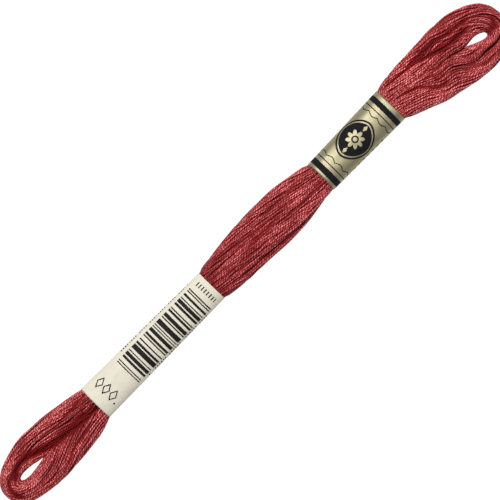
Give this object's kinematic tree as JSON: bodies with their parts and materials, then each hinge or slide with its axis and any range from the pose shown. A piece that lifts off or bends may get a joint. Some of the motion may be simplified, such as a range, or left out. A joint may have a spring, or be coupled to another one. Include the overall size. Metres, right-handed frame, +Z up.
{
  "type": "skein of embroidery floss",
  "caption": "Wound skein of crimson stranded embroidery floss, pinched by a long and a short paper band, with a small loop at each end.",
  "frame": {"origin": "under the middle of the skein, on the surface that it lies on", "axes": "+X along the skein towards the short band, +Y across it, +Z up out of the surface"},
  "size_m": [0.1694, 0.019, 0.0068],
  "materials": {
    "floss": "satin",
    "cream_paper": "matte",
    "gold_paper": "satin"
  },
  "bodies": {
    "root": {"floss_skein": "floss", "long_band": "cream_paper", "short_band": "gold_paper"}
  },
  "joints": []
}
